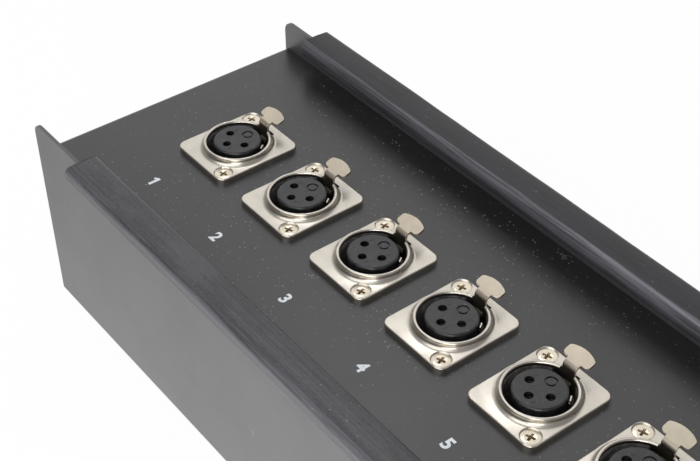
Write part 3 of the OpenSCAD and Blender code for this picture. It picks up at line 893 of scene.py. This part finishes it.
@dataclass
class RubberStrips:
    """The two slit hoses, whose skin is wavy where the lip presses it flat.

    Skin that is nearer to the strip's middle than inside, or nearer across the strip than slit, is
    the slit's own and stays sharp at the ends.
    """

    wave: float = 0.45 * MM
    ripples: tuple[Ripple, ...] = (Ripple(0.010, 5.0, 1.0), Ripple(0.003, 6.0, 0.35))
    end_round: float = 1.8 * MM
    cuts: int = 180
    inside: float = 0.5 * MM
    slit: float = 0.8 * MM

    def build(self) -> list[Piece]:
        """Cut each strip into short lengths, make it wavy and dress it.

        Returns:
            Both strips.
        """
        made = [
            stand_in("front_strip", Finishes.front_rubber, angle=60.0),
            stand_in("rear_strip", Finishes.rear_rubber, angle=60.0),
        ]
        for seed, piece in enumerate(made):
            self.round_ends(piece)
            self.divide(piece)
            self.make_wavy(piece, seed)
            smooth_by_angle(piece, 50.0)
            weight_normals(piece)
        return made

    def pick_edges(self, piece: Piece, wanted: Callable[[bmesh.types.BMEdge], bool]) -> None:
        """Enter edit mode with some of a strip's edges selected.

        Args:
            piece: The strip.
            wanted: Tells whether to select an edge.
        """
        make_active(piece)
        bpy.ops.object.mode_set(mode="EDIT")
        bpy.ops.mesh.select_all(action="DESELECT")
        bpy.ops.mesh.select_mode(type="EDGE")
        mesh = bmesh.from_edit_mesh(piece.data)
        for edge in mesh.edges:
            edge.select = wanted(edge)
        bmesh.update_edit_mesh(piece.data)

    def run(self, edge: bmesh.types.BMEdge) -> float:
        """Measure how far an edge runs along X."""
        return abs(edge.verts[0].co.x - edge.verts[1].co.x)

    def round_ends(self, piece: Piece) -> None:
        """Round the outer edges of both end faces.

        Args:
            piece: The strip.
        """
        corners = [vertex.co for vertex in piece.data.vertices]
        low, high = (
            Vector([pick(co[axis] for co in corners) for axis in range(3)]) for pick in (min, max)
        )
        middle = (low + high) / 2

        def outside(face: bmesh.types.BMFace) -> bool:
            """Tell a face of the outer skin from the slit's and from the end faces.

            Args:
                face: A face of the strip.

            Returns:
                True on the outer skin.
            """
            away = face.calc_center_median() - middle
            level = abs(face.normal.x) < 0.5
            return level and face.normal.dot(away) > self.inside and abs(away.y) > self.slit

        self.pick_edges(
            piece, lambda edge: self.run(edge) < TOLERANCE and any(map(outside, edge.link_faces))
        )
        bpy.ops.mesh.bevel(offset=self.end_round, segments=4, clamp_overlap=True)
        bpy.ops.object.mode_set(mode="OBJECT")

    def divide(self, piece: Piece) -> None:
        """Divide the long edges, so that the strip can bend between its ends.

        Args:
            piece: The strip.
        """
        self.pick_edges(piece, lambda edge: self.run(edge) > 50 * MM)
        bpy.ops.mesh.subdivide(number_cuts=self.cuts)
        bpy.ops.object.mode_set(mode="OBJECT")

    def make_wavy(self, piece: Piece, seed: int) -> None:
        """Press slow dents and fine ripples into the skin, never outwards.

        Args:
            piece: The strip.
            seed: Moves the pattern, so that the strips differ.
        """
        guide = bpy.data.objects.new("ripple_guide", None)
        bpy.context.collection.objects.link(guide)
        guide.location = (0.37 * seed, 0.11 * seed, 0.05)
        for ripple in self.ripples:
            texture = bpy.data.textures.new("ripple", "CLOUDS")
            texture.noise_scale = 1.0
            guide.scale = (ripple.size * ripple.stretch, ripple.size, ripple.size)
            bpy.context.view_layer.update()
            apply_modifier(
                piece, "DISPLACE", texture=texture, texture_coords="OBJECT",
                texture_coords_object=guide, strength=self.wave * ripple.share, mid_level=1.0,
            )
        bpy.data.objects.remove(guide)


@dataclass
class Sockets:
    """The row of latching sockets, with their inserts, contacts and latches."""

    edge: float = 0.12 * MM

    def build(self) -> list[Piece]:
        """Dress every socket.

        Returns:
            Its pieces, which stand in for CAD nodes.
        """
        made = []
        for number in range(1, SOCKETS + 1):
            body = f"latch_body_{number}"
            made += [
                stand_in(f"socket_shell_{number}", Finishes.nickel, angle=35.0),
                stand_in(f"socket_insert_{number}", Finishes.insert, angle=35.0),
                stand_in(f"socket_contacts_{number}", Finishes.contact, angle=35.0),
                stand_in(f"latch_{number}", Finishes.lever, body, 35.0, self.edge),
                stand_in(f"latch_spring_{number}", Finishes.steel, body, 70.0),
            ]
        for node, finish, slot in (
            ("socket_liners", Finishes.liner, "insert_plastic"),
            ("insert_bases", Finishes.liner, "insert_plastic"),
            ("latch_pins", Finishes.steel, "pin_steel"),
            ("ground_tongues", Finishes.nickel, "nickel"),
        ):
            made.append(stand_in(node, finish))
        return made


@dataclass
class SocketScrews:
    """Countersunk screws with tapered cross recesses, in place of the CAD's plain ones.

    Shank and head are radii, and cone, rim and crown are the heights of the head's steps. Span is
    how far apart a flange's two screws are. The recess's cutter is made of two arms of the size
    cross, whose middle is cross_low below the head's top; its lower end is taper times as large.
    """

    shank: float = 1.45 * MM
    length: float = 5.4 * MM
    head: float = 2.8 * MM
    cone: float = 1.2 * MM
    rim: float = 0.14 * MM
    crown: float = 0.06 * MM
    soften: float = 0.05 * MM
    span: tuple[float, float] = (19.0 * MM, 24.0 * MM)
    cross: Point = (3.5 * MM, 1.0 * MM, 2.4 * MM)
    cross_low: float = 0.5 * MM
    cross_turn: float = 0.3
    taper: float = 0.42

    def build(self) -> list[Piece]:
        """Model one screw at the origin, its head's top at its sunk height, and copy it.

        Returns:
            All the screws, in one piece.
        """
        screw = self.model_screw()
        half_x, half_y = self.span[0] / 2, self.span[1] / 2
        places = [
            Vector((socket_x(number) + side * half_x, ROW_Y - side * half_y, FACE_Z))
            for number in range(1, SOCKETS + 1)
            for side in (-1, 1)
        ]
        screws = copy_to(screw, places, "socket_screws_dressed")
        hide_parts("socket_screws")
        Finishes.screw.dress(screws)
        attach(screws, "box")
        return [screws]

    def model_screw(self) -> Piece:
        """Make the shank, the flared head and the recess.

        Returns:
            One screw, with the flange's face at height 0.
        """
        clear_selection()
        top = -SCREW_SINK - self.crown - self.rim - self.cone
        bpy.ops.mesh.primitive_cylinder_add(
            vertices=32, radius=self.shank, depth=self.length,
            location=(0, 0, top - self.length / 2),
        )
        screw = bpy.context.object
        apply_placement(screw)
        bpy.ops.object.mode_set(mode="EDIT")
        self.select_top(screw)
        flare = self.head / self.shank
        for rise, size in ((self.cone, flare), (self.rim, 1.0), (self.crown, 0.95)):
            bpy.ops.mesh.extrude_region_move(TRANSFORM_OT_translate={"value": (0, 0, rise)})
            bpy.ops.transform.resize(value=(size, size, 1.0))
        bpy.ops.object.mode_set(mode="OBJECT")
        combine(screw, "DIFFERENCE", self.model_cross())
        apply_modifier(
            screw, "BEVEL", width=self.soften, segments=2, limit_method="ANGLE",
            angle_limit=math.radians(40),
        )
        smooth_by_angle(screw, 35.0)
        return screw

    def select_top(self, piece: Piece) -> None:
        """Select the faces at a piece's highest level, in edit mode.

        Args:
            piece: The piece.
        """
        bpy.ops.mesh.select_mode(type="FACE")
        bpy.ops.mesh.select_all(action="DESELECT")
        mesh = bmesh.from_edit_mesh(piece.data)
        top = max(face.calc_center_median().z for face in mesh.faces)
        for face in mesh.faces:
            face.select = face.calc_center_median().z > top - TOLERANCE
        bmesh.update_edit_mesh(piece.data)

    def model_cross(self) -> Piece:
        """Make the tapered cross that cuts the recess.

        Returns:
            The cutter, with its wide end above the head.
        """
        arms = []
        middle = -SCREW_SINK - self.cross_low
        for turn in (0.0, math.pi / 2):
            clear_selection()
            bpy.ops.mesh.primitive_cube_add(size=1.0)
            arm = bpy.context.object
            arm.scale = self.cross
            arm.location = (0, 0, middle)
            arm.rotation_euler = (0, 0, turn + self.cross_turn)
            apply_placement(arm)
            for vertex in arm.data.vertices:
                if vertex.co.z < middle:
                    vertex.co.x *= self.taper
                    vertex.co.y *= self.taper
            arms.append(arm)
        combine(arms[0], "UNION", arms[1])
        return arms[0]


@dataclass(frozen=True)
class Bar:
    """A straight stroke of a figure that is drawn from given strokes, for a figure 1 high.

    Args:
        wide: Its width.
        tall: Its length.
        at: Its middle.
        turn: How far it is turned, in radians.
    """

    wide: float
    tall: float
    at: tuple[float, float]
    turn: float


@dataclass
class Numerals:
    """The printed channel numbers on the panel and the raised contact numbers on each insert.

    A printed number stands shift from its socket's centre along X, and its foot at line_y plus
    drift for each one before it. Bold and strokes are for a figure 1 high. Contacts holds each
    small number with its foot's place from its socket's centre; they are sunk into the insert.
    """

    height: float = 4.3 * MM
    bold: float = 0.034
    shift: float = -3.1 * MM
    line_y: float = -31.9 * MM
    drift: float = 0.3 * MM
    printed: float = 0.02 * MM
    lift: float = 0.01 * MM
    strokes: tuple[Bar, Bar] = (
        Bar(0.19, 0.74, (0.0, 0.37), 0.0), Bar(0.15, 0.30, (-0.125, 0.61), -0.95),
    )
    small: float = 1.3 * MM
    raised: float = 0.08 * MM
    contacts: tuple[tuple[str, float, float], ...] = (
        ("2", -4.2 * MM, 1.9 * MM), ("1", 4.2 * MM, 1.9 * MM), ("3", 2.4 * MM, -5.2 * MM),
    )
    sunk: float = 0.02 * MM

    def build(self) -> list[Piece]:
        """Print the channel numbers, raise the contact numbers and dress both.

        Returns:
            The printed numbers and the raised ones.
        """
        printed = []
        for number in range(1, SOCKETS + 1):
            foot = self.line_y + self.drift * (number - 1)
            place = Vector((socket_x(number) + self.shift, foot, PANEL_Z + self.lift))
            printed.append(self.letter(str(number), self.height, place, self.printed, self.bold))
        ink = join(printed, "channel_numerals")
        Finishes.ink.dress(ink)
        raised = []
        top = FACE_Z + INSERT_RISE - self.sunk
        for number in range(1, SOCKETS + 1):
            for mark, x, y in self.contacts:
                place = Vector((socket_x(number) + x, ROW_Y + y, top))
                raised.append(self.letter(mark, self.small, place, self.raised, 0.0))
        marks = join(raised, "contact_numerals")
        Finishes.insert.dress(marks)
        for piece in (ink, marks):
            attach(piece, "box")
        return [ink, marks]

    def letter(self, text: str, height: float, place: Vector, thick: float, weight: float) -> Piece:
        """Make one numeral as a thin mesh.

        Args:
            text: The numeral.
            height: The height of the figure.
            place: The middle of its foot, on the surface that it stands on.
            thick: How far it stands up.
            weight: How much bolder than the plain font it is, for a figure 1 high.

        Returns:
            The numeral's mesh, in place.
        """
        drawn = text == "1" and weight
        figure = self.flagged_one() if drawn else self.plain_text(text, weight)
        size = figure.dimensions
        low = min(vertex.co.y for vertex in figure.data.vertices)
        left = min(vertex.co.x for vertex in figure.data.vertices)
        scale = height / size.y
        for vertex in figure.data.vertices:
            vertex.co.x = (vertex.co.x - left - size.x / 2) * scale + place.x
            vertex.co.y = (vertex.co.y - low) * scale + place.y
            vertex.co.z = (vertex.co.z / FIGURE_THICK + 0.5) * thick + place.z
        return figure

    def plain_text(self, text: str, weight: float) -> Piece:
        """Set a figure in the plain font and turn it into a mesh.

        Args:
            text: The numeral.
            weight: How much bolder than the plain font it is.

        Returns:
            The figure's mesh, about 1 high, at the origin.
        """
        clear_selection()
        bpy.ops.object.text_add()
        figure = bpy.context.object
        figure.data.body = text
        figure.data.size = 1.0
        figure.data.offset = weight
        figure.data.extrude = FIGURE_THICK / 2
        figure.data.resolution_u = 6
        bpy.ops.object.convert(target="MESH")
        return bpy.context.object

    def flagged_one(self) -> Piece:
        """Make a bold figure 1 from a stem and a slanted flag.

        Returns:
            The figure's mesh, about 1 high, at the origin.
        """
        parts = []
        for stroke in self.strokes:
            clear_selection()
            bpy.ops.mesh.primitive_cube_add(size=1.0)
            bar = bpy.context.object
            bar.scale = (stroke.wide, stroke.tall, FIGURE_THICK)
            bar.rotation_euler = (0, 0, stroke.turn)
            bar.location = (*stroke.at, 0)
            apply_placement(bar)
            parts.append(bar)
        combine(parts[0], "UNION", parts[1])
        return parts[0]


@dataclass
class Gland:
    """The cable gland in the end wall."""

    edge: float = 0.3 * MM

    def build(self) -> list[Piece]:
        """Soften and dress the gland.

        Returns:
            Its five pieces.
        """
        made = [
            stand_in(node, Finishes.gland, angle=32.0, bevel=self.edge)
            for node in ("gland_body", "gland_locknut", "gland_cap")
        ]
        for node in ("gland_washer", "gland_seal"):
            made.append(stand_in(node, Finishes.foot, angle=32.0))
        return made


@dataclass(frozen=True)
class Lamp:
    """A square soft lamp that points at the box.

    Args:
        name: What it is called.
        place: Where it hangs, in metres.
        size: The length of its side, in metres.
        watts: Its power.
    """

    name: str
    place: Point
    size: float
    watts: float

    def hang(self) -> None:
        """Put the lamp in the scene."""
        data = bpy.data.lights.new(self.name, "AREA")
        data.size = self.size
        data.energy = self.watts
        lamp = bpy.data.objects.new(self.name, data)
        bpy.context.collection.objects.link(lamp)
        lamp.location = self.place
        aim = Vector((0, 0, 50 * MM)) - Vector(self.place)
        lamp.rotation_mode = "QUATERNION"
        lamp.rotation_quaternion = aim.to_track_quat("-Z", "Y")


@dataclass
class Studio:
    """A pale floor, a white world, soft lamps and the camera at the photograph's angle.

    Eye and lens are in millimetres, for a sensor of the width sensor, and right, down and ahead are
    the picture's axes. Towards backdrop reflections see a white sweep, and elsewhere a room that is
    room bright. The floor shows floor_share of a glow: floor_seen to the camera, and in reflections
    floor_glow at its -X and +X ends. The lamps are a large soft one above, a low one in front, and a
    small one that glints in the plating.
    """

    lens: float = 74.355
    sensor: float = 36.0
    eye: Point = (188.45, -200.0, 349.5)
    right: Point = (0.6096, 0.7926, -0.0115)
    down: Point = (0.5014, -0.3968, -0.7689)
    ahead: Point = (-0.6140, 0.4629, -0.6393)
    backdrop: Point = (-0.55, 0.70, 0.45)
    room: float = 0.3
    sky: Colour = (0.95, 0.97, 1.0)
    sky_light: float = 0.55
    floor: float = 0.82
    floor_share: float = 0.94
    floor_glow: tuple[float, float] = (0.95, 1.55)
    floor_seen: float = 1.015
    lamps: tuple[Lamp, ...] = (
        Lamp("key", (0.15, -0.9, 1.1), 1.3, 8.0),
        Lamp("low_front", (0.75, -0.8, 0.25), 0.5, 6.5),
        Lamp("glint", (-0.61, 0.36, 1.07), 0.20, 0.62),
    )

    def build(self) -> None:
        """Set the stage."""
        bpy.context.scene.view_settings.view_transform = "Standard"
        self.make_camera()
        self.make_floor()
        self.make_world()
        for lamp in self.lamps:
            lamp.hang()

    def make_camera(self) -> None:
        """Place the camera that was worked out from the photograph."""
        data = bpy.data.cameras.new("camera")
        data.lens = self.lens
        data.sensor_width = self.sensor
        data.clip_start = 0.01
        camera = bpy.data.objects.new("camera", data)
        bpy.context.collection.objects.link(camera)
        x, y, z = Vector(self.right), -Vector(self.down), -Vector(self.ahead)
        camera.rotation_mode = "QUATERNION"
        camera.rotation_quaternion = Matrix((x, y, z)).transposed().to_quaternion().normalized()
        camera.location = Vector(self.eye) * MM
        bpy.context.scene.camera = camera

    def seen_rays(self, tree: Tree, path: Node) -> Socket:
        """Give 1 for the camera's rays, reflections and rays through glass, and 0 for the rest."""
        seen = tree.math("MAXIMUM", path.outputs["Is Camera Ray"], path.outputs["Is Glossy Ray"])
        return tree.math("MAXIMUM", seen, path.outputs["Is Transmission Ray"])

    def make_floor(self) -> None:
        """Lay a large pale floor that shows white and keeps the box's shadow.

        In reflections it brightens towards +X, where the low lamp stands.
        """
        clear_selection()
        bpy.ops.mesh.primitive_plane_add(size=8.0, location=(0, 0, -0.2 * MM))
        floor = bpy.context.object
        floor.name = "floor"
        material = bpy.data.materials.new("floor_white")
        tree = empty_tree(material)
        lit = tree.add("ShaderNodeBsdfDiffuse", {"Color": (*(self.floor,) * 3, 1)})
        path = tree.add("ShaderNodeLightPath")
        mirrored = tree.span(tree.axes()[0], -260.0 * MM, -20.0 * MM, self.floor_glow)
        more = tree.math("SUBTRACT", self.floor_seen, mirrored)
        plain = tree.product(path.outputs["Is Camera Ray"], more)
        strength = tree.math("ADD", mirrored, plain)
        glow = tree.add("ShaderNodeEmission", {"Color": (1, 1, 1, 1), "Strength": strength})
        share = tree.product(self.seen_rays(tree, path), self.floor_share)
        both = tree.add("ShaderNodeMixShader", {0: share, 1: lit.outputs[0], 2: glow.outputs[0]})
        tree.add("ShaderNodeOutputMaterial", {"Surface": both.outputs[0]})
        floor.data.materials.append(material)

    def make_world(self) -> None:
        """Light softly from all round, and show a white backdrop to the camera and in reflections.

        Reflections show the white sweep behind the box, and a dimmer room on the other side.
        """
        world = bpy.data.worlds.new("studio")
        tree = empty_tree(world)
        bpy.context.scene.world = world
        inputs = {"Color": (*self.sky, 1), "Strength": self.sky_light}
        soft = tree.add("ShaderNodeBackground", inputs)
        path = tree.add("ShaderNodeLightPath")
        look = tree.add("ShaderNodeTexCoord").outputs["Generated"]
        inputs = {0: look, 1: self.backdrop}
        toward = tree.add("ShaderNodeVectorMath", inputs, operation="DOT_PRODUCT")
        sweep = tree.span(toward.outputs["Value"], 0.40, 0.74, (self.room, 1.0))
        strength = tree.math("MAXIMUM", sweep, path.outputs["Is Camera Ray"])
        white = tree.add("ShaderNodeBackground", {"Color": (1, 1, 1, 1), "Strength": strength})
        seen = self.seen_rays(tree, path)
        both = tree.add("ShaderNodeMixShader", {0: seen, 1: soft.outputs[0], 2: white.outputs[0]})
        tree.add("ShaderNodeOutputWorld", {"Surface": both.outputs[0]})


def main() -> None:
    """Build the pieces in order, and report each through logging."""
    logging.basicConfig(level=logging.INFO, format="%(message)s")
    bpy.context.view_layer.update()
    for part in (Case(), RubberStrips(), Sockets(), SocketScrews(), Numerals(), Gland()):
        for piece in part.build():
            log.info("%s: %d faces", piece.name, len(piece.data.polygons))
    Studio().build()


if __name__ == "__main__":
    main()
